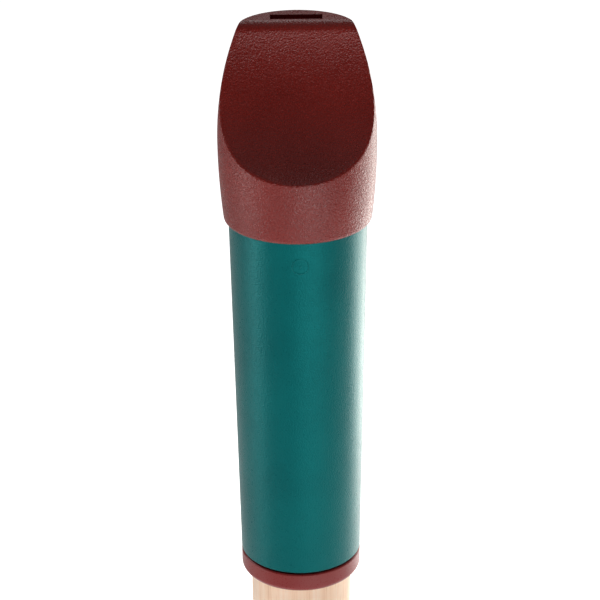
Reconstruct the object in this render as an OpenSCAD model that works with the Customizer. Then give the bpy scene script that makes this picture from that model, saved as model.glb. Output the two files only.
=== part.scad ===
// Pentatonic recorder, standing on its foot: plastic head with a beak mouthpiece, turned wooden body.
// The origin is the middle of the foot's end face, +Z runs up the bore,
// the window and the finger holes face +Y, the lip scoop and the thumb hole face -Y.

/* [Body] */
// Length of the wooden body from its foot to its shoulder
body_length = 184; // [176:1:215]
// Diameter of the body at its shoulder
shoulder_d = 21.5; // [20.5:0.1:24]
// Diameter of the body's waist, where the flare begins
waist_d = 19.8; // [18.5:0.1:21.5]
// Diameter of the foot's rim
foot_d = 23.2; // [22.5:0.1:27]
// Height of the foot's flare
flare_height = 26; // [16:1:30]
// Rounding of the foot's rim
foot_round = 2; // [0.8:0.1:3]
// Diameter of the bore at the foot
foot_bore_d = 10.4; // [9:0.1:11.5]
// Length of the straight bore at the foot
straight_bore = 28; // [15:1:32]
// Diameter of the bore at the top of the tenon
tenon_bore_d = 13.4; // [12.4:0.1:14]
// Break on the turned edges
wood_break = 0.4; // [0.1:0.05:0.8]

/* [Tone holes] */
// Distance of the first finger hole below the shoulder
first_hole_drop = 34; // [28:1:40]
// Distance of the thumb hole below the shoulder
thumb_drop = 18; // [15:1:24]
// Diameter of the thumb hole
thumb_d = 5.4; // [4:0.1:7]
// Depth of the dished edge round each hole
hole_dish = 0.5; // [0.2:0.05:0.9]

/* [Tenon] */
// Diameter of the wooden tenon
tenon_d = 18; // [17:0.1:18.4]
// Length of the tenon above the shoulder
tenon_length = 24; // [18:0.5:30]
// Outer diameter of the cork lapping
cork_d = 18.6; // [18.2:0.1:19.4]
// Diameter of the groove that holds the cork
cork_bed_d = 16.6; // [15.6:0.1:17.4]
// Length of the cork
cork_length = 15; // [8:0.5:16]
// Distance from the shoulder to the cork
cork_start = 5; // [2:0.5:8]

/* [Head ring] */
// Outer diameter of the ring
ring_d = 25.6; // [24.6:0.1:28]
// Height of the ring
ring_height = 4.3; // [3:0.1:7]
// Rounding of the ring's lower edge
ring_round = 1.2; // [0.4:0.1:2]
// Depth of the socket beyond the end of the tenon
socket_spare = 1; // [0.6:0.1:3]
// Parting line between the ring and the sleeve
seam = 0.4; // [0.2:0.05:0.6]
// Break on moulded edges
moulded_break = 0.25; // [0.1:0.05:0.5]

/* [Head sleeve] */
// Length of the sleeve from the parting line to the mouthpiece
sleeve_length = 75.7; // [64:0.1:90]
// Diameter of the sleeve at its top
sleeve_top_d = 28; // [26.5:0.1:30]
// Diameter of the core and the ring's spigot, which share the sleeve's bore
liner_d = 21.2; // [20.6:0.1:22]

/* [Voicing] */
// Diameter of the head's bore
head_bore_d = 13.8; // [13.2:0.1:14.2]
// Width of the windway, the window and the labium
windway_width = 10.3; // [9:0.1:11.4]
// Height of the windway at its mouth in the tip
windway_entry = 3.2; // [1.6:0.1:3.6]
// Height of the windway where it opens into the window
windway_exit = 1.1; // [0.8:0.05:1.6]
// Distance of the windway's roof from the axis, at the tip
roof_entry = 7.95; // [7.6:0.05:8.3]
// Distance of the windway's roof from the axis, at the window
roof_exit = 7.75; // [7.5:0.05:8.1]
// Height of the window from the labium's edge to the windway
cut_up = 4.3; // [3:0.1:6]
// Slope of the labium's ramp against the axis
ramp_angle = 18; // [14:0.5:24]
// Thickness of the labium's edge
labium_edge = 0.3; // [0.2:0.05:0.6]
// Length over which the labium is cut flat from inside
undercut_length = 12; // [6:0.5:18]
// Chamfer on the block where the windway ends
block_chamfer = 0.5; // [0.2:0.05:0.8]

/* [Mouthpiece] */
// Height of the mouthpiece from its lower edge to its tip
mouthpiece_length = 39.8; // [36:0.1:44]
// Diameter of the mouthpiece at its belly
belly_d = 31.66; // [30.6:0.02:34]
// Height of the belly above the lower edge
belly_height = 16.4; // [12:0.1:20]
// Radius of the outline from the belly up to the tip
crown_radius = 65; // [55:1:90]
// Radius of the outline from the belly down to the lower edge
skirt_radius = 138; // [100:1:200]
// Rounding of the lower edge
lip_round = 1.05; // [0.5:0.05:1.6]
// Radius of the lip scoop
scoop_radius = 32.5; // [30:0.1:36]
// Distance of the scoop's centre line in front of the axis, on the player's side
scoop_out = 30.1; // [29:0.1:36]
// Height of the scoop's centre line above the lower edge
scoop_rise = 41.9; // [40:0.1:46]
// Rounding between the scoop and the tip
tip_round = 2; // [0.6:0.1:2.4]
// Length of the straight taper that ends the outline at the tip
tip_taper = 3.2; // [2.8:0.1:4]
// Wall of the mouthpiece behind the scoop
scoop_wall = 2; // [1.2:0.1:2.6]
// Solid depth of the tip, above the core and the block
tip_solid = 12; // [8:0.5:16]

/* [Fits] */
// Radial clearance of the pieces that turn or slide on each other
slide_clearance = 0.05; // [0.02:0.01:0.1]
// Clearance of the pieces that are pressed or glued together
fixed_clearance = 0.03; // [0.02:0.01:0.08]
// Clearance behind the scoop's wall and above the core
loose_clearance = 0.2; // [0.1:0.05:0.4]

/* [Hidden] */
$fn = 96;

// Spare length that a cut runs past the face that it opens
over = 1;
// Reach of a cut that crosses the whole width
reach = belly_d + 2 * over;
// Extra radius of the tip's rounding, so that it crosses its two faces and doesn't only touch them
bite = 0.02;

// Finger holes from the top one down: distance below the first hole and diameter
finger_holes = [[0, 5.6], [25, 6], [46, 6], [70, 5.6], [90, 5], [112, 5.6]];

wood_colour = [0.90, 0.78, 0.66];
cork_colour = [0.72, 0.55, 0.38];
red_colour = [0.46, 0.19, 0.18];
green_colour = [0.06, 0.37, 0.37];

// Heights of the main faces
ring_top = body_length + ring_height;
sleeve_bottom = ring_top + seam;
exit_z = sleeve_bottom + sleeve_length;
mouthpiece_z = exit_z + fixed_clearance;
tip_z = mouthpiece_z + mouthpiece_length;
tenon_top = body_length + tenon_length;
socket_top = tenon_top + socket_spare;
core_bottom = socket_top + seam;
core_top = tip_z - tip_solid - loose_clearance;
labium_z = exit_z - cut_up;

socket_r = cork_d / 2 + slide_clearance;
liner_r = liner_d / 2;
sleeve_bore_r = liner_r + slide_clearance;
ring_r = ring_d / 2;
head_bore_r = head_bore_d / 2;
belly_r = belly_d / 2;
// The labium's edge stands in the middle of the air that leaves the windway
labium_y = roof_exit - windway_exit / 2;

// Distance from the axis of the windway's roof and floor at a height
function windway_share(z) = (z - exit_z) / (tip_z - exit_z);
function roof_y(z) = roof_exit + (roof_entry - roof_exit) * windway_share(z);
function gap_at(z) = windway_exit + (windway_entry - windway_exit) * windway_share(z);
function floor_y(z) = roof_y(z) - gap_at(z);

// Radius of the body's straight taper at a height
function body_r(z) =
    (waist_d + (shoulder_d - waist_d) * (z - flare_height) / (body_length - flare_height)) / 2;

// A side outline drawn in (Y, Z), given a width along X
module across(width) {
    rotate([90, 0, 90])
        translate([0, 0, -width / 2])
            linear_extrude(width)
                children();
}

// The part of a circle inside the box between two corners
module arc_piece(centre, radius, low, high) {
    intersection() {
        translate(centre)
            circle(radius);
        translate(low)
            square(high - low);
    }
}

// Half outline of the foot: a rounded rim that runs smoothly into a hollow flare
module foot_outline() {
    foot_r = foot_d / 2;
    waist_r = waist_d / 2;
    rim_r = foot_r - foot_round;
    set_back = waist_r - rim_r;
    rise = flare_height - foot_round;
    flare_radius = (set_back * set_back + rise * rise - foot_round * foot_round) / (2 * (foot_r - waist_r));
    meet_z = flare_height - rise * flare_radius / (flare_radius + foot_round);
    square([rim_r, meet_z]);
    arc_piece([rim_r, foot_round], foot_round, [rim_r, -over], [foot_r + over, meet_z]);
    difference() {
        translate([0, meet_z])
            square([foot_r + over, flare_height - meet_z]);
        translate([waist_r + flare_radius, flare_height])
            circle(flare_radius);
    }
}

// Half outline of the shaft, the shoulder and the tenon with its groove for the cork
module shaft_outline() {
    tenon_r = tenon_d / 2;
    bed_r = cork_bed_d / 2;
    cork_bottom = body_length + cork_start;
    polygon([
        [0, flare_height],
        [waist_d / 2, flare_height],
        [body_r(body_length - wood_break), body_length - wood_break],
        [body_r(body_length) - wood_break, body_length],
        [tenon_r, body_length],
        [tenon_r, cork_bottom],
        [bed_r, cork_bottom],
        [bed_r, cork_bottom + cork_length],
        [tenon_r, cork_bottom + cork_length],
        [tenon_r, tenon_top - wood_break],
        [tenon_r - wood_break, tenon_top],
        [0, tenon_top]
    ]);
}

// Half outline of the bore: straight at the foot, then opening towards the tenon
module bore_outline() {
    taper = (tenon_bore_d - foot_bore_d) / (tenon_top - straight_bore) / 2;
    polygon([
        [0, -over],
        [foot_bore_d / 2, -over],
        [foot_bore_d / 2, straight_bore],
        [tenon_bore_d / 2 + taper * over, tenon_top + over],
        [0, tenon_top + over]
    ]);
}

// A hole from the bore out through one side of the body, dished at the surface
module tone_hole(z, d, turn) {
    surface = body_r(z) - hole_dish;
    translate([0, 0, z])
        rotate([-90, 0, turn]) {
            cylinder(h = surface + over, d = d);
            translate([0, 0, surface])
                cylinder(h = hole_dish + over, r1 = d / 2, r2 = d / 2 + hole_dish + over);
        }
}

module body() {
    color(wood_colour)
        difference() {
            rotate_extrude()
                difference() {
                    union() {
                        foot_outline();
                        shaft_outline();
                    }
                    bore_outline();
                }
            for (hole = finger_holes)
                tone_hole(body_length - first_hole_drop - hole[0], hole[1], 0);
            tone_hole(body_length - thumb_drop, thumb_d, 180);
        }
}

module tenon_cork() {
    inner_r = cork_bed_d / 2 + fixed_clearance;
    color(cork_colour)
        translate([0, 0, body_length + cork_start + fixed_clearance])
            rotate_extrude()
                translate([inner_r, 0])
                    square([cork_d / 2 - inner_r, cork_length - 2 * fixed_clearance]);
}

module head_ring() {
    round_r = ring_r - ring_round;
    color(red_colour)
        translate([0, 0, body_length])
            rotate_extrude() {
                polygon([
                    [socket_r + moulded_break, 0],
                    [round_r, 0],
                    [round_r, ring_round],
                    [ring_r, ring_round],
                    [ring_r, ring_height - moulded_break],
                    [ring_r - moulded_break, ring_height],
                    [liner_r, ring_height],
                    [liner_r, socket_top - body_length],
                    [socket_r, socket_top - body_length],
                    [socket_r, moulded_break]
                ]);
                arc_piece([round_r, ring_round], ring_round, [round_r, -over], [ring_r + over, ring_round]);
            }
}

// Everything outside the labium's ramp and the open window above it
module window_cut() {
    ramp_length = (reach - labium_y) / tan(ramp_angle);
    across(windway_width)
        polygon([
            [labium_y, labium_z],
            [reach, labium_z - ramp_length],
            [reach, exit_z],
            [0, exit_z],
            [0, labium_z]
        ]);
}

module head_sleeve() {
    color(green_colour)
        difference() {
            rotate_extrude()
                polygon([
                    [sleeve_bore_r, sleeve_bottom],
                    [ring_r - moulded_break, sleeve_bottom],
                    [ring_r, sleeve_bottom + moulded_break],
                    [sleeve_top_d / 2, exit_z],
                    [sleeve_bore_r, exit_z]
                ]);
            window_cut();
        }
}

// Outline of the space in front of the scoop's wall, set back by a distance
module scoop_outline(set_back) {
    translate([-scoop_out, mouthpiece_z + scoop_rise])
        circle(scoop_radius + set_back);
}

module head_core() {
    chord_y = sqrt(head_bore_r * head_bore_r - windway_width * windway_width / 4);
    above = core_top + over;
    color(green_colour)
        difference() {
            translate([0, 0, core_bottom])
                cylinder(h = core_top - core_bottom, r = liner_r);
            translate([0, 0, core_bottom - over])
                cylinder(h = core_top - core_bottom + 2 * over, r = head_bore_r);
            window_cut();
            across(windway_width)
                polygon([
                    [0, labium_z],
                    [labium_y - labium_edge, labium_z],
                    [chord_y, labium_z - undercut_length],
                    [0, labium_z - undercut_length]
                ]);
            across(windway_width)
                polygon([[0, exit_z], [roof_exit, exit_z], [roof_y(above), above], [0, above]]);
            across(reach)
                scoop_outline(scoop_wall + loose_clearance);
        }
}

module block() {
    exit_floor = floor_y(exit_z);
    color(red_colour)
        difference() {
            union() {
                translate([0, 0, exit_z])
                    cylinder(h = core_top - exit_z, r = head_bore_r - fixed_clearance);
                across(windway_width - 2 * fixed_clearance)
                    translate([0, exit_z])
                        square([roof_exit, core_top - exit_z]);
            }
            across(reach)
                polygon([
                    [exit_floor - block_chamfer, exit_z - over],
                    [exit_floor - block_chamfer, exit_z],
                    [floor_y(exit_z + block_chamfer), exit_z + block_chamfer],
                    [floor_y(core_top), core_top],
                    [floor_y(core_top), core_top + over],
                    [reach, core_top + over],
                    [reach, exit_z - over]
                ]);
            across(reach)
                scoop_outline(scoop_wall + loose_clearance);
        }
}

// Half outline of the mouthpiece, from its lower edge to above its tip, which ends in a straight taper
module mouthpiece_outline() {
    skirt_x = belly_r - skirt_radius;
    drop = belly_height - lip_round;
    lip_x = skirt_x + sqrt(pow(skirt_radius - lip_round, 2) - drop * drop);
    meet_z = belly_height - drop * skirt_radius / (skirt_radius - lip_round);
    crown_x = belly_r - crown_radius;
    taper_z = mouthpiece_length - tip_taper;
    crown_reach = sqrt(pow(crown_radius, 2) - pow(taper_z - belly_height, 2));
    taper_run = tip_taper + over;
    taper_in = taper_run * (taper_z - belly_height) / crown_reach;
    difference() {
        arc_piece([skirt_x, belly_height], skirt_radius, [0, 0], [belly_r + over, belly_height]);
        difference() {
            translate([lip_x, -over])
                square([belly_r, meet_z + over]);
            translate([lip_x, lip_round])
                circle(lip_round);
        }
    }
    arc_piece([crown_x, belly_height], crown_radius, [0, belly_height], [belly_r + over, taper_z]);
    polygon([
        [0, taper_z],
        [crown_x + crown_reach, taper_z],
        [crown_x + crown_reach - taper_in, taper_z + taper_run],
        [0, taper_z + taper_run]
    ]);
}

// Side outline of what the rounding takes off the edge between the scoop and the flat tip
module tip_corner() {
    fillet_z = tip_z - tip_round;
    lift = mouthpiece_z + scoop_rise - fillet_z;
    fillet_y = sqrt(pow(scoop_radius + tip_round, 2) - lift * lift) - scoop_out;
    meet_z = fillet_z + lift * tip_round / (scoop_radius + tip_round);
    difference() {
        translate([fillet_y - 2 * tip_round, meet_z])
            square([2 * tip_round, tip_z + over - meet_z]);
        translate([fillet_y, fillet_z])
            circle(tip_round + bite);
    }
}

// Room inside the mouthpiece for the core and the block, with the scoop's wall left standing
module core_room() {
    difference() {
        translate([0, 0, mouthpiece_z - over])
            cylinder(h = tip_z - tip_solid - mouthpiece_z + over, r = liner_r + slide_clearance);
        across(reach)
            scoop_outline(scoop_wall);
    }
}

module mouthpiece() {
    slot_bottom = core_top - over;
    slot_top = tip_z + over;
    color(red_colour)
        difference() {
            translate([0, 0, mouthpiece_z])
                rotate_extrude()
                    mouthpiece_outline();
            across(reach)
                scoop_outline(0);
            translate([-reach / 2, -reach / 2, tip_z])
                cube([reach, reach, 2 * over]);
            across(reach)
                tip_corner();
            core_room();
            across(windway_width)
                polygon([
                    [floor_y(slot_bottom), slot_bottom],
                    [roof_y(slot_bottom), slot_bottom],
                    [roof_y(slot_top), slot_top],
                    [floor_y(slot_top), slot_top]
                ]);
        }
}

body();
tenon_cork();
head_ring();
head_sleeve();
head_core();
block();
mouthpiece();
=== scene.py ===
"""Looks of a pentatonic recorder: finishes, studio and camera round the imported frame."""
import math

import bpy
import numpy as np
from mathutils import Matrix, Vector


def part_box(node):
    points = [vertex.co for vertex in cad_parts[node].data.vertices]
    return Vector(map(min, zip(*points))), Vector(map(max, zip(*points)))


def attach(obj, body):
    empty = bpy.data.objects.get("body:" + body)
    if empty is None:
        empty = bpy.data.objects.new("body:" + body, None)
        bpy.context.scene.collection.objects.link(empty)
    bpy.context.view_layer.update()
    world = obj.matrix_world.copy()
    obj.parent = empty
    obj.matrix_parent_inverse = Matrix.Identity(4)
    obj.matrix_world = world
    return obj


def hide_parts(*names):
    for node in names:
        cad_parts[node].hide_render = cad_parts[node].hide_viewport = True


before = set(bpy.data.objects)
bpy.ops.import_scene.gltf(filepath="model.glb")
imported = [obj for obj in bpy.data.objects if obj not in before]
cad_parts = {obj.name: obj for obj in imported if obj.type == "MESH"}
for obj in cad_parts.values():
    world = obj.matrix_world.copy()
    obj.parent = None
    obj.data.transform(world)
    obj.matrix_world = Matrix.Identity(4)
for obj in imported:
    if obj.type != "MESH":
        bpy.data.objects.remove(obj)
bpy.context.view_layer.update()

MM = 0.001

# Camera: it stands in front of the player's side and looks down on the beak, with its angles in degrees
CAMERA_BACK = 360.3 * MM
CAMERA_ABOVE_SLEEVE_END = 218.2 * MM
CAMERA_PITCH = 24.025
CAMERA_YAW = 0.043
CAMERA_ROLL = -0.512
CAMERA_LENS = 115.4
CAMERA_SENSOR = 36
CAMERA_CLIP_START = 10 * MM

# Moulded plastics: colours, the tint of their gloss, the pebbles of their skin and the range of roughness
RED_TINT = (1.0, 0.9, 0.9, 1)
RED_PEBBLED = {
    "dark": (0.188, 0.0128, 0.0095),
    "light": (0.224, 0.0168, 0.0125),
    "tint": RED_TINT,
    "pebble_size": 0.34 * MM,
    "pebble_depth": 0.085 * MM,
    "roughness": (0.18, 0.48),
}
# Satin red of the ring and block: its skin is smoother than the beak's, and its tone is painted lighter
# than the beak's red to stand in for the brighter light low on the head
RED_SATIN_PAINTED_LIGHTER = {
    "dark": (0.215, 0.0165, 0.0155),
    "light": (0.245, 0.0205, 0.0185),
    "tint": RED_TINT,
    "pebble_size": 0.20 * MM,
    "pebble_depth": 0.010 * MM,
    "roughness": (0.26, 0.38),
}
GREEN_SATIN = {
    "dark": (0.0008, 0.086, 0.090),
    "light": (0.0012, 0.103, 0.106),
    "tint": (0.07, 1.0, 1.0, 1),
    "pebble_size": 0.30 * MM,
    "pebble_depth": 0.042 * MM,
    "roughness": (0.27, 0.36),
}
PLASTIC_SPECULAR = 0.4
CLOUD = {"scale": 70.0, "detail": 4.0}
CLOUD_DARK_AT = 0.35
CLOUD_LIGHT_AT = 0.65
PEBBLE_SMOOTHNESS = 0.5
FINE_PER_PEBBLE = 2.0
FINE_SHARE = 0.4
SPECKLES_PER_PEBBLE = 0.8

# Turned wood: fibres, growth lines and pores are noises, stretched along the grain
FIBRES = {"stretch": (1, 1, 0.012), "scale": 1500.0, "detail": 3.0, "roughness": 0.7}
GROWTH = {"stretch": (1, 0.35, 0.03), "scale": 420.0, "detail": 3.0, "roughness": 0.55}
PORES = {"stretch": (1, 1, 0.05), "scale": 4200.0, "detail": 1.0}
GROWTH_RANGE = (-0.1, 0.3)
FIBRE_SHARE = 0.8
WOOD_TONES = (
    (0.22, (0.83, 0.540, 0.365)),
    (0.46, (0.94, 0.670, 0.485)),
    (0.70, (0.97, 0.755, 0.595)),
)
PORE_TONES = ((0.28, (0.86, 0.79, 0.72)), (0.40, (1, 1, 1)))
WOOD_ROUGHNESS = (0.46, 0.62)
WOOD_SPECULAR = 0.35
WOOD_SKIN_STRENGTH = 0.6
WOOD_SKIN_DEPTH = 0.02 * MM
PORE_SHARE = 0.4

# Cork: granules, with pits in and between them
CORK_TONES = ((0.2, (0.30, 0.17, 0.08)), (0.8, (0.56, 0.36, 0.19)))
CORK_GRANULES = 900.0
CORK_PITS = {"scale": 1500.0, "detail": 3.0}
CORK_PIT_SHARE = 0.8
CORK_SKIN_DEPTH = 0.12 * MM
CORK_ROUGHNESS = (0.75, 0.95)

# The part of a noise's range in which most of its values lie
NOISE_LOW = 0.3
NOISE_HIGH = 0.7

# Rounding that the light shows on moulded and on turned edges
MOULDED_EDGE = 0.18 * MM
TURNED_EDGE = 0.15 * MM
EDGE_SAMPLES = 4

# Studio: a white table in a white room, in metres
FLOOR_SIZE = 12.0
FLOOR_TONES = ((0.3, (0.79, 0.79, 0.78)), (0.7, (0.80, 0.80, 0.79)))
FLOOR_MOTTLE = {"scale": 40.0, "detail": 3.0}
FLOOR_ROUGHNESS = 0.9
WORLD_LEVEL = 0.04
WORLD_GLOSS = 0.02
WHITE = (1, 1, 1, 1)
WARM_WHITE = (1.0, 0.97, 0.91)

# The lift to white where the table is seen, which is less round the foot
GLOW_AT_FOOT = 0.37
GLOW_START = 0.03
GLOW_FULL = 0.34

# The patch of the table, set aside to the right, that shows bright in a gloss
GLOSS_ASIDE = 0.20
GLOSS_NEAR = 1.0
GLOSS_FAR = 0.14
GLOSS_START = 0.31
GLOSS_END = 0.46

# Mouthpiece, in millimetres above its lower edge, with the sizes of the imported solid
BELLY_HEIGHT = 16.4
CROWN_RADIUS = 65.0
SKIRT_RADIUS = 138.0
LIP_ROUND = 1.05
SCOOP_RADIUS = 32.5
SCOOP_OUT = 30.1
SCOOP_RISE = 41.9
SCOOP_WALL = 2.0
TIP_ROUND = 2.0
TIP_TAPER = 3.2
TIP_SOLID = 12.0
ROOM_RADIUS = 10.65
EDGE_ROUND = 0.22
ROOM_EDGE_ROUND = 0.3
SHARP_ANGLE = 35.0
WINDWAY_WIDTH = 10.3
WINDWAY_ENTRY = 3.2
WINDWAY_EXIT = 1.1
ROOF_ENTRY = 7.95
ROOF_EXIT = 7.75
CUTTER_PAST = 1.0

# Rings of points that carry the mouthpiece's mesh: level ones, and at the tip a fan of sloping ones
RING_POINTS = 300
ROOM_RINGS = 26
LIP_RINGS = 9
SKIRT_RINGS = 8
SKIRT_FROM = 2.0
SKIRT_TO = 9.0
CROWN_RINGS = 100
CROWN_FROM = 9.25
FAN_RINGS = 55
FAN_DROP = 5.8
FAN_FIRST_SLOPE = 1.6
FAN_LAST_SLOPE = 88.0
RAY_LENGTH = 40.0
RAY_HALVINGS = 34

# Round mark of the moulding's gate on the sleeve, on the player's side
MARK_DROP = 4.82 * MM
MARK_ASIDE = 0.38 * MM
MARK_RADIUS = 1.6 * MM
MARK_WIRE = 0.13 * MM
MARK_FLATNESS = 0.28
MARK_PIP = 0.14 * MM
PIP_WIRE = 0.12 * MM
MARK_POINTS = 48
WIRE_POINTS = 8


class Graph:
    """A node tree, with one short way to add a node and join it to others."""

    def __init__(self, tree, output_kind):
        self.tree = tree
        self.tree.nodes.clear()
        self.output = self.add(output_kind)

    def add(self, kind, inputs=None, **settings):
        node = self.tree.nodes.new(kind)
        for name, value in settings.items():
            setattr(node, name, value)
        for socket, value in (inputs or {}).items():
            if isinstance(value, bpy.types.NodeSocket):
                self.tree.links.new(value, node.inputs[socket])
            else:
                node.inputs[socket].default_value = value
        return node

    def ramp(self, factor, *stops):
        """Colours at places along a factor from 0 to 1."""
        node = self.add("ShaderNodeValToRGB", {"Fac": factor})
        elements = node.color_ramp.elements
        while len(elements) < len(stops):
            elements.new(0.5)
        for element, (place, colour) in zip(elements, stops):
            element.position = place
            element.color = (*colour, 1)
        return node.outputs["Color"]

    def spread(self, value, low, high):
        """A noise's main range stretched to run from low to high."""
        node = self.add(
            "ShaderNodeMapRange",
            {"Value": value, "From Min": NOISE_LOW, "From Max": NOISE_HIGH, "To Min": low, "To Max": high},
        )
        return node.outputs["Result"]

    def fade(self, value, start, end, low, high):
        """A smooth change from low to high while a value runs from start to end."""
        node = self.add(
            "ShaderNodeMapRange",
            {"Value": value, "From Min": start, "From Max": end, "To Min": low, "To Max": high},
            interpolation_type="SMOOTHSTEP",
        )
        return node.outputs["Result"]

    def add_up(self, first, second, share):
        """The first value plus a share of the second."""
        node = self.add(
            "ShaderNodeMath", {0: second, 1: share, 2: first}, operation="MULTIPLY_ADD"
        )
        return node.outputs["Value"]

    def bump(self, height, strength, depth, edge_radius):
        """A skin of small heights, over edges that catch the light as if rounded."""
        edge = self.add("ShaderNodeBevel", {"Radius": edge_radius}, samples=EDGE_SAMPLES)
        node = self.add(
            "ShaderNodeBump",
            {
                "Height": height,
                "Strength": strength,
                "Distance": depth,
                "Normal": edge.outputs["Normal"],
            },
        )
        return node.outputs["Normal"]


def link(piece):
    bpy.context.scene.collection.objects.link(piece)
    return piece


def new_material(name):
    material = bpy.data.materials.new(name)
    material.use_nodes = True
    return material, Graph(material.node_tree, "ShaderNodeOutputMaterial")


def surface(graph, inputs):
    shader = graph.add("ShaderNodeBsdfPrincipled", inputs)
    graph.tree.links.new(shader.outputs["BSDF"], graph.output.inputs["Surface"])


def object_place(graph, stretch=(1, 1, 1)):
    """The point on the object in metres, with each axis stretched."""
    coordinates = graph.add("ShaderNodeTexCoord")
    mapping = graph.add(
        "ShaderNodeMapping", {"Vector": coordinates.outputs["Object"], "Scale": stretch}
    )
    return mapping.outputs["Vector"]


def noise(graph, place, scale, detail, roughness=0.5):
    node = graph.add(
        "ShaderNodeTexNoise",
        {"Vector": place, "Scale": scale, "Detail": detail, "Roughness": roughness},
    )
    return node.outputs["Fac"]


def grain(graph, stretch, **pattern):
    """A noise stretched along the object's axes."""
    return noise(graph, object_place(graph, stretch), **pattern)


def pebbles(graph, place, scale, smoothness):
    node = graph.add(
        "ShaderNodeTexVoronoi",
        {"Vector": place, "Scale": scale, "Smoothness": smoothness},
        feature="SMOOTH_F1",
    )
    return node.outputs["Distance"]


def moulded_plastic(name, dark, light, tint, pebble_size, pebble_depth, roughness, edge=MOULDED_EDGE):
    """Satin moulded plastic with a fine pebbled skin and a faint cloud of colour."""
    material, graph = new_material(name)
    place = object_place(graph)
    cloud = noise(graph, place, **CLOUD)
    skin = pebbles(graph, place, 1 / pebble_size, PEBBLE_SMOOTHNESS)
    fine = noise(graph, place, FINE_PER_PEBBLE / pebble_size, detail=1.0)
    speckle = noise(graph, place, SPECKLES_PER_PEBBLE / pebble_size, detail=1.0)
    height = graph.add_up(skin, fine, FINE_SHARE)
    surface(
        graph,
        {
            "Base Color": graph.ramp(cloud, (CLOUD_DARK_AT, dark), (CLOUD_LIGHT_AT, light)),
            "Roughness": graph.spread(speckle, *roughness),
            "Specular IOR Level": PLASTIC_SPECULAR,
            "Specular Tint": tint,
            "Normal": graph.bump(height, strength=1.0, depth=pebble_depth, edge_radius=edge),
        },
    )
    return material


def turned_wood(name):
    """Pale close-grained fruitwood: long fibres, faint growth lines and short dark pores."""
    material, graph = new_material(name)
    fibres = grain(graph, **FIBRES)
    growth = grain(graph, **GROWTH)
    pores = grain(graph, **PORES)
    tone = graph.add_up(graph.spread(growth, *GROWTH_RANGE), fibres, FIBRE_SHARE)
    layers = {"Factor": 1.0, "A": graph.ramp(tone, *WOOD_TONES), "B": graph.ramp(pores, *PORE_TONES)}
    colour = graph.add("ShaderNodeMix", layers, data_type="RGBA", blend_type="MULTIPLY")
    height = graph.add_up(fibres, pores, PORE_SHARE)
    surface(
        graph,
        {
            "Base Color": colour.outputs["Result"],
            "Roughness": graph.spread(fibres, *WOOD_ROUGHNESS),
            "Specular IOR Level": WOOD_SPECULAR,
            "Normal": graph.bump(height, WOOD_SKIN_STRENGTH, WOOD_SKIN_DEPTH, TURNED_EDGE),
        },
    )
    return material


def granular_cork(name):
    """Pressed cork of dark and light granules."""
    material, graph = new_material(name)
    place = object_place(graph)
    granules = graph.add("ShaderNodeTexVoronoi", {"Vector": place, "Scale": CORK_GRANULES})
    pits = noise(graph, place, **CORK_PITS)
    height = graph.add_up(granules.outputs["Distance"], pits, CORK_PIT_SHARE)
    surface(
        graph,
        {
            "Base Color": graph.ramp(granules.outputs["Color"], *CORK_TONES),
            "Roughness": graph.spread(pits, *CORK_ROUGHNESS),
            "Normal": graph.bump(height, strength=1.0, depth=CORK_SKIN_DEPTH, edge_radius=TURNED_EDGE),
        },
    )
    return material


def round_max(first, second, radius):
    """The larger of two distances, with the edge where they meet rounded."""
    corner = np.hypot(np.maximum(first + radius, 0), np.maximum(second + radius, 0))
    return np.minimum(np.maximum(first, second), -radius) + corner


class Beak:
    """The mouthpiece as distances: negative inside its walls, positive outside, in millimetres."""

    def __init__(self):
        low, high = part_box("mouthpiece")
        self.bottom = low.z / MM
        self.length = (high.z - low.z) / MM
        self.belly_radius = high.x / MM
        self.taper_height = self.length - TIP_TAPER

    def wall(self, across, height):
        """Distance outside the turned outline: skirt, crown and the straight taper at the tip."""
        up = height - BELLY_HEIGHT
        skirt = np.hypot(across - self.belly_radius + SKIRT_RADIUS, up) - SKIRT_RADIUS
        crown = np.hypot(across - self.belly_radius + CROWN_RADIUS, up) - CROWN_RADIUS
        taper_up = self.taper_height - BELLY_HEIGHT
        lean = taper_up / CROWN_RADIUS
        reach = math.sqrt(CROWN_RADIUS**2 - taper_up**2)
        taper_across = self.belly_radius - CROWN_RADIUS + reach
        taper = (across - taper_across) * reach / CROWN_RADIUS + (up - taper_up) * lean
        bowed = np.where(up < 0, skirt, crown)
        return np.where(up < taper_up, bowed, taper)

    def scoop(self, y, height, set_back=0.0):
        """Distance inside the scoop's round hollow."""
        return SCOOP_RADIUS + set_back - np.hypot(y + SCOOP_OUT, height - SCOOP_RISE)

    def outside(self, x, y, height):
        """Distance outside the whole beak, with its edges rounded."""
        front = round_max(self.scoop(y, height), height - self.length, TIP_ROUND)
        return round_max(front, self.wall(np.hypot(x, y), height), EDGE_ROUND)

    def outside_room(self, x, y, height):
        """Distance outside the room that takes the head's core."""
        across = np.hypot(x, y) - ROOM_RADIUS
        return round_max(self.scoop(y, height, SCOOP_WALL), across, ROOM_EDGE_ROUND)

    def middle(self, height, radius, set_back=0.0):
        """The place between the scoop and the far wall, from which all of a slice is in view."""
        drop = (SCOOP_RADIUS + set_back) ** 2 - (height - SCOOP_RISE) ** 2
        scoop_y = math.sqrt(max(drop, 0)) - SCOOP_OUT
        return (max(scoop_y, -radius) + radius) / 2


def ring_turns():
    return np.linspace(0, 2 * math.pi, RING_POINTS, endpoint=False)


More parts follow.
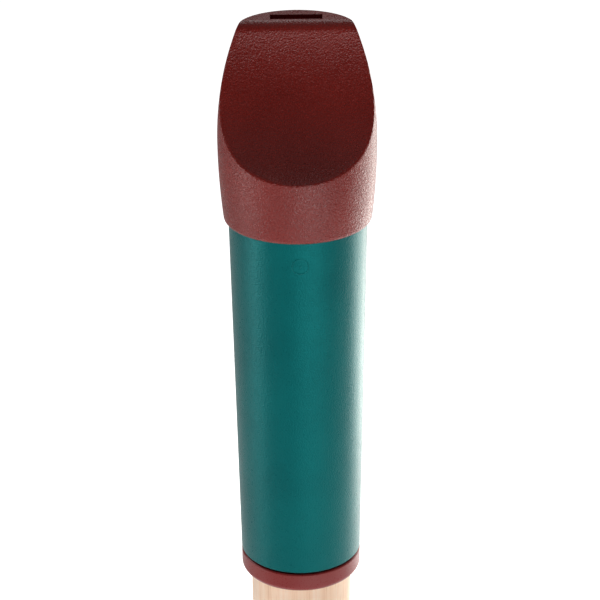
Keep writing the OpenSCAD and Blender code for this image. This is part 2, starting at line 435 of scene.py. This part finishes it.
def ray_ring(distance, start, slope):
    """A ring of points where rays from a start point, at a slope in degrees, leave the solid."""
    turn = ring_turns()
    flat = math.cos(math.radians(slope))
    rise = math.sin(math.radians(slope))
    near = np.zeros(RING_POINTS)
    far = np.full(RING_POINTS, RAY_LENGTH)

    def points(run):
        y = start[0] + run * flat * np.sin(turn)
        return run * flat * np.cos(turn), y, start[1] + run * rise

    for _ in range(RAY_HALVINGS):
        half = (near + far) / 2
        inside = distance(*points(half)) < 0
        near = np.where(inside, half, near)
        far = np.where(inside, far, half)
    return np.stack(points(near), axis=1)


def round_ring(radius, height):
    turn = ring_turns()
    level = np.full(RING_POINTS, height)
    return np.stack((radius * np.cos(turn), radius * np.sin(turn), level), axis=1)


def room_rings(beak):
    """Rings from the room's ceiling down its wall."""
    for height in np.linspace(beak.length - TIP_SOLID, 0, ROOM_RINGS):
        start = (beak.middle(height, ROOM_RADIUS, SCOOP_WALL), height)
        yield ray_ring(beak.outside_room, start, 0)


def lip_rings(beak):
    """Rings round the lower edge, from the inside to the skirt."""
    skirt_reach = math.sqrt((SKIRT_RADIUS - LIP_ROUND) ** 2 - (BELLY_HEIGHT - LIP_ROUND) ** 2)
    lip_x = beak.belly_radius - SKIRT_RADIUS + skirt_reach
    for angle in np.linspace(-90, 0, LIP_RINGS):
        turn = math.radians(angle)
        yield round_ring(lip_x + LIP_ROUND * math.cos(turn), LIP_ROUND * (1 + math.sin(turn)))


def outer_rings(beak):
    """Rings up the outside, and then a fan of them that closes in on the tip."""
    fan_height = beak.length - FAN_DROP
    skirt = np.linspace(SKIRT_FROM, SKIRT_TO, SKIRT_RINGS)
    crown = np.linspace(CROWN_FROM, fan_height, CROWN_RINGS)
    for height in (*skirt, *crown):
        start = (beak.middle(height, beak.belly_radius), height)
        yield ray_ring(beak.outside, start, 0)
    fan_start = (beak.middle(fan_height, beak.belly_radius), fan_height)
    for slope in np.linspace(FAN_FIRST_SLOPE, FAN_LAST_SLOPE, FAN_RINGS):
        yield ray_ring(beak.outside, fan_start, slope)


def loft(name, rings, lift):
    """One closed skin through rings of points, with a point in the middle of each end ring."""
    count = len(rings[0])
    points = np.concatenate([*rings, [rings[0].mean(0)], [rings[-1].mean(0)]])
    faces = []
    for low in range(0, (len(rings) - 1) * count, count):
        for i in range(count):
            j = (i + 1) % count
            faces.append((low + i, low + j, low + count + j, low + count + i))
    first_end, last_end = len(rings) * count, len(rings) * count + 1
    top = (len(rings) - 1) * count
    for i in range(count):
        j = (i + 1) % count
        faces.append((first_end, j, i))
        faces.append((last_end, top + i, top + j))
    mesh = bpy.data.meshes.new(name)
    mesh.from_pydata(((points + (0, 0, lift)) * MM).tolist(), [], faces)
    return mesh


def windway_cutter(beak):
    """The windway's slot from the room's ceiling out through the tip."""
    corners = []
    for height in (beak.length - TIP_SOLID - CUTTER_PAST, beak.length + CUTTER_PAST):
        share = height / beak.length
        roof = ROOF_EXIT + (ROOF_ENTRY - ROOF_EXIT) * share
        floor = roof - WINDWAY_EXIT - (WINDWAY_ENTRY - WINDWAY_EXIT) * share
        for y in (floor, roof):
            for x in (-WINDWAY_WIDTH / 2, WINDWAY_WIDTH / 2):
                corners.append((x * MM, y * MM, (height + beak.bottom) * MM))
    faces = [(0, 2, 3, 1), (4, 5, 7, 6), (0, 1, 5, 4), (2, 6, 7, 3), (0, 4, 6, 2), (1, 3, 7, 5)]
    mesh = bpy.data.meshes.new("windway")
    mesh.from_pydata(corners, [], faces)
    return link(bpy.data.objects.new("windway", mesh))


def make_mouthpiece(finish):
    """The beak with its edges rounded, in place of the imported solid."""
    beak = Beak()
    rings = [*room_rings(beak), *lip_rings(beak), *outer_rings(beak)]
    solid = loft("mouthpiece_shell", rings, beak.bottom)
    piece = link(bpy.data.objects.new("mouthpiece_shell", solid))
    cutter = windway_cutter(beak)
    cut = piece.modifiers.new("windway", "BOOLEAN")
    cut.operation = "DIFFERENCE"
    cut.solver = "EXACT"
    cut.object = cutter
    shape = piece.evaluated_get(bpy.context.evaluated_depsgraph_get())
    mesh = bpy.data.meshes.new_from_object(shape)
    piece.modifiers.clear()
    piece.data = mesh
    bpy.data.objects.remove(cutter)
    mesh.shade_smooth()
    mesh.set_sharp_from_angle(angle=math.radians(SHARP_ANGLE))
    mesh.materials.clear()
    mesh.materials.append(finish)
    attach(piece, "cap")
    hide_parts("mouthpiece")


def wire_loop(radius, wire):
    """Corners and faces of a thin closed loop that lies on the sleeve's taper, half sunk in it."""
    low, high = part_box("head_sleeve")
    taper = (high.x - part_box("head_ring")[1].x) / (high.z - low.z)
    corners = []
    for i in range(MARK_POINTS):
        turn = 2 * math.pi * i / MARK_POINTS
        for j in range(WIRE_POINTS):
            lean = 2 * math.pi * j / WIRE_POINTS
            across = radius + wire * math.cos(lean)
            drop = MARK_DROP - across * math.sin(turn)
            out = high.x - taper * drop + MARK_FLATNESS * wire * math.sin(lean)
            swing = (MARK_ASIDE + across * math.cos(turn)) / high.x
            corners.append((out * math.sin(swing), -out * math.cos(swing), high.z - drop))
    faces = []
    for i in range(MARK_POINTS):
        here, there = i * WIRE_POINTS, (i + 1) % MARK_POINTS * WIRE_POINTS
        for j in range(WIRE_POINTS):
            k = (j + 1) % WIRE_POINTS
            faces.append((here + j, there + j, there + k, here + k))
    return corners, faces


def make_gate_mark(finish):
    """The faint ring that the moulding's gate left on the sleeve, with the dot inside it."""
    corners, faces = wire_loop(MARK_RADIUS, MARK_WIRE)
    dot_corners, dot_faces = wire_loop(MARK_PIP, PIP_WIRE)
    first = len(corners)
    faces += [tuple(first + corner for corner in face) for face in dot_faces]
    mesh = bpy.data.meshes.new("gate_mark")
    mesh.from_pydata(corners + dot_corners, [], faces)
    mesh.shade_smooth()
    mesh.materials.append(finish)
    piece = link(bpy.data.objects.new("gate_mark", mesh))
    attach(piece, "head")


def ray_kinds(graph):
    """Two switches: one for rays that see a thing directly or through glass, one for rays of a gloss."""
    path = graph.add("ShaderNodeLightPath")
    direct = graph.add(
        "ShaderNodeMath",
        {0: path.outputs["Is Camera Ray"], 1: path.outputs["Is Transmission Ray"]},
        operation="MAXIMUM",
    )
    return direct.outputs["Value"], path.outputs["Is Glossy Ray"]


def table_top(name):
    """White table that keeps the shadow round the foot and is lifted to white further out."""
    material, graph = new_material(name)
    place = object_place(graph)
    mottle = noise(graph, place, **FLOOR_MOTTLE)
    reach = graph.add("ShaderNodeVectorMath", {0: place}, operation="LENGTH").outputs["Value"]
    direct, glossy = ray_kinds(graph)
    lift = graph.fade(reach, GLOW_START, GLOW_FULL, GLOW_AT_FOOT, 1.0)
    patch_centre = (GLOSS_ASIDE, 0, 0)
    patch = graph.add("ShaderNodeVectorMath", {0: place, 1: patch_centre}, operation="DISTANCE")
    gloss = graph.fade(patch.outputs["Value"], GLOSS_START, GLOSS_END, GLOSS_NEAR, GLOSS_FAR)
    seen = graph.add("ShaderNodeMath", {0: direct, 1: lift}, operation="MULTIPLY")
    surface(
        graph,
        {
            "Base Color": graph.ramp(mottle, *FLOOR_TONES),
            "Roughness": FLOOR_ROUGHNESS,
            "Specular IOR Level": 0.0,
            "Emission Color": WHITE,
            "Emission Strength": graph.add_up(seen.outputs["Value"], glossy, gloss),
        },
    )
    return material


def make_floor():
    mesh = bpy.data.meshes.new("table_top")
    half = FLOOR_SIZE / 2
    corners = [(-half, -half, 0), (half, -half, 0), (half, half, 0), (-half, half, 0)]
    mesh.from_pydata(corners, [], [(0, 1, 2, 3)])
    mesh.materials.append(table_top("table_white"))
    link(bpy.data.objects.new("table_top", mesh))


def make_world():
    world = bpy.data.worlds.new("studio")
    world.use_nodes = True
    bpy.context.scene.world = world
    graph = Graph(world.node_tree, "ShaderNodeOutputWorld")
    direct, glossy = ray_kinds(graph)
    level = graph.add(
        "ShaderNodeMapRange",
        {"Value": graph.add_up(direct, glossy, WORLD_GLOSS), "To Min": WORLD_LEVEL, "To Max": 1.0},
    )
    background = graph.add(
        "ShaderNodeBackground",
        {"Color": WHITE, "Strength": level.outputs["Result"]},
    )
    graph.tree.links.new(background.outputs["Background"], graph.output.inputs["Surface"])


def soft_panel(name, azimuth, distance, height, size, radiance, tilt=0.0, colour=(1, 1, 1)):
    """A soft light panel that faces the recorder's axis and isn't seen by the camera.

    Azimuth 0 is the player's side, and positive is to the right of it. Tilt turns the panel downwards.
    """
    light = bpy.data.lights.new(name, "AREA")
    light.shape = "RECTANGLE"
    light.size, light.size_y = size
    light.energy = math.pi * radiance * size[0] * size[1]
    light.color = colour
    panel = link(bpy.data.objects.new(name, light))
    turn = math.radians(azimuth)
    panel.location = (distance * math.sin(turn), -distance * math.cos(turn), height)
    panel.rotation_euler = (math.radians(90 - tilt), 0, turn)
    panel.visible_camera = False


def make_lights():
    soft_panel(
        "right_panel", azimuth=133, distance=0.41, height=0.18,
        size=(0.38, 0.36), radiance=3.6, colour=WARM_WHITE,
    )
    soft_panel(
        "right_low_panel", azimuth=133, distance=0.40, height=0.035,
        size=(0.38, 0.07), radiance=1.6, colour=WARM_WHITE,
    )
    soft_panel(
        "right_side_panel", azimuth=90, distance=0.60, height=0.29,
        size=(0.26, 0.24), radiance=3.0, colour=WARM_WHITE,
    )
    soft_panel("front_panel", azimuth=18, distance=0.60, height=0.12, size=(0.50, 0.24), radiance=4.5)
    soft_panel("front_left_panel", azimuth=-30, distance=0.60, height=0.10, size=(0.30, 0.20), radiance=1.5)
    soft_panel("left_panel", azimuth=-75, distance=0.50, height=0.15, size=(0.22, 0.30), radiance=4.0)
    soft_panel(
        "left_back_panel", azimuth=-110, distance=0.60, height=0.42,
        size=(0.28, 0.26), radiance=3.3, tilt=15,
    )
    soft_panel(
        "back_panel", azimuth=172, distance=0.55, height=0.87,
        size=(1.10, 0.40), radiance=2.2, tilt=48,
    )
    soft_panel(
        "top_panel", azimuth=0, distance=0.20, height=1.40,
        size=(0.90, 0.90), radiance=0.25, tilt=90,
    )


def make_camera():
    pitch, yaw, roll = (math.radians(a) for a in (CAMERA_PITCH, CAMERA_YAW, CAMERA_ROLL))
    flat = math.cos(pitch)
    forward = Vector((math.sin(yaw) * flat, math.cos(yaw) * flat, -math.sin(pitch)))
    right = Vector((math.cos(yaw), -math.sin(yaw), 0))
    up = right.cross(forward)
    rolled_right = right * math.cos(roll) + up * math.sin(roll)
    rolled_up = up * math.cos(roll) - right * math.sin(roll)
    sleeve_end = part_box("head_sleeve")[0].z
    lens = bpy.data.cameras.new("camera")
    lens.lens = CAMERA_LENS
    lens.sensor_width = CAMERA_SENSOR
    lens.clip_start = CAMERA_CLIP_START
    camera = link(bpy.data.objects.new("camera", lens))
    turn = Matrix((rolled_right, rolled_up, -forward)).transposed().to_4x4()
    turn.translation = (0, -CAMERA_BACK, sleeve_end + CAMERA_ABOVE_SLEEVE_END)
    camera.matrix_world = turn
    bpy.context.scene.camera = camera


def dress():
    """Give each frame node its finish, and add the pieces that are made here."""
    red = moulded_plastic("red_pebbled", **RED_PEBBLED)
    ring_red_painted_lighter = moulded_plastic("red_satin_painted_lighter", **RED_SATIN_PAINTED_LIGHTER)
    green = moulded_plastic("green_satin", **GREEN_SATIN)
    # On a thin piece a rounded edge would show the underside, so this finish has none
    thin_green = moulded_plastic("green_thin", **GREEN_SATIN, edge=0.0)
    finishes = {
        "body": turned_wood("pear_turned"),
        "tenon_cork": granular_cork("cork_granular"),
        "head_ring": ring_red_painted_lighter,
        "head_sleeve": green,
        "head_core": green,
        "block": ring_red_painted_lighter,
    }
    for name, finish in finishes.items():
        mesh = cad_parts[name].data
        mesh.materials.clear()
        mesh.materials.append(finish)
    make_mouthpiece(red)
    make_gate_mark(thin_green)


bpy.context.scene.view_settings.view_transform = "Standard"
make_camera()
make_world()
make_floor()
make_lights()
dress()
